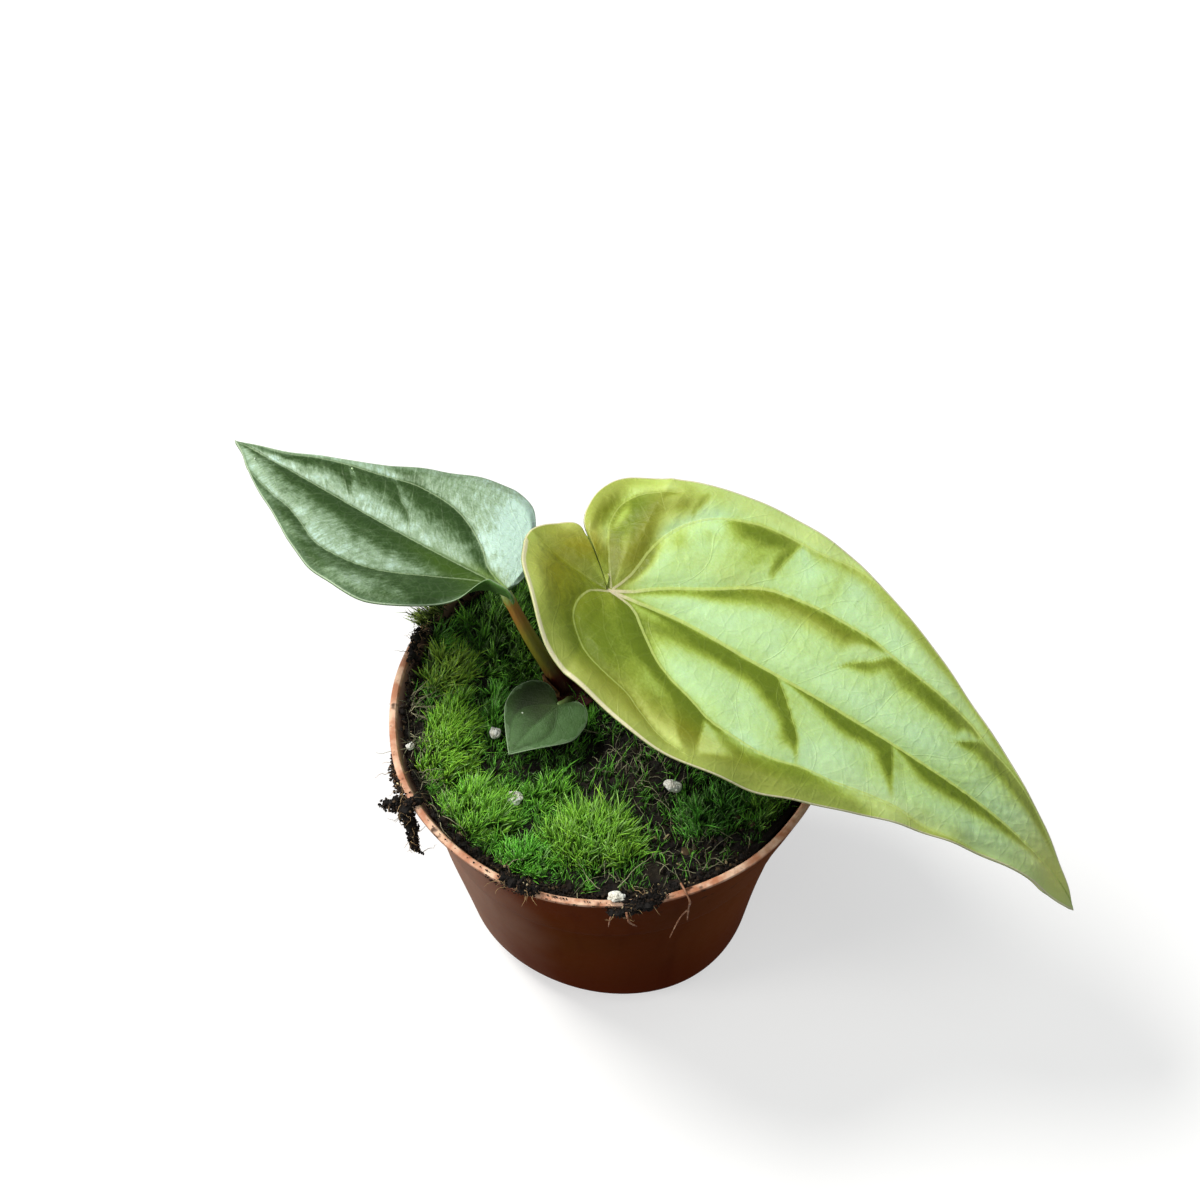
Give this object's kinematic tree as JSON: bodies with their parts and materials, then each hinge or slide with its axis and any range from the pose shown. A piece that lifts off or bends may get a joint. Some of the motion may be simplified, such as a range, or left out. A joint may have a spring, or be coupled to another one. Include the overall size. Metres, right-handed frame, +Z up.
{
  "type": "potted anthurium hybrid",
  "caption": "Young heart-leaved anthurium with a large yellow-green leaf and a silvery smaller leaf, rooted in moss-grown potting mix in a flared plastic nursery pot.",
  "frame": {"origin": "on the pot's axis, at the level the pot stands on", "axes": "+Z up along the pot's axis; +X towards the tip of the large leaf, the longest way across; +Y away from the front, where the large leaf's lobes and the small leaf face"},
  "size_m": [0.1142, 0.0654, 0.0741],
  "materials": {
    "pot_plastic": "matte terracotta-coloured moulded plastic",
    "potting_mix": "dark moist crumbly mix of peat, bark and fibre",
    "stem": "dark red-brown woody stem and dry sheaths",
    "young_blade": "soft satin yellow-green young leaf",
    "silver_blade": "satin grey-green leaf with silvery sheen",
    "juvenile_blade": "satin grey-green leaf",
    "petiole": "smooth olive to red-brown leaf stalk",
    "moss": "soft upright moss shoots",
    "perlite": "white porous expanded grain",
    "root": "pale thin root fibre"
  },
  "bodies": {
    "root": {"pot": "pot_plastic", "stem_and_roots": "stem", "potting_mix": "potting_mix", "blade_large": "young_blade", "blade_middle": "silver_blade", "blade_small": "juvenile_blade", "petiole_large": "petiole", "petiole_middle": "petiole", "petiole_small": "petiole", "sheath_large": "stem", "sheath_middle": "stem", "moss_left": "moss", "moss_front_left": "moss", "moss_lower_left": "moss", "moss_front": "moss", "moss_middle": "moss", "moss_inner_left": "moss", "moss_right": "moss", "moss_far_right": "moss", "moss_back_left": "moss", "moss_upper_left": "moss", "moss_back": "moss", "moss_back_right": "moss", "perlite_left": "perlite", "perlite_front_left": "perlite", "perlite_right": "perlite", "perlite_inner_rim": "perlite", "perlite_back": "perlite", "perlite_rim": "perlite", "spill_left": "potting_mix", "spill_upper_left": "potting_mix", "spill_front_left": "potting_mix", "spill_front": "potting_mix", "root_fibre_right": "root", "root_fibre_front": "root"}
  },
  "joints": []
}
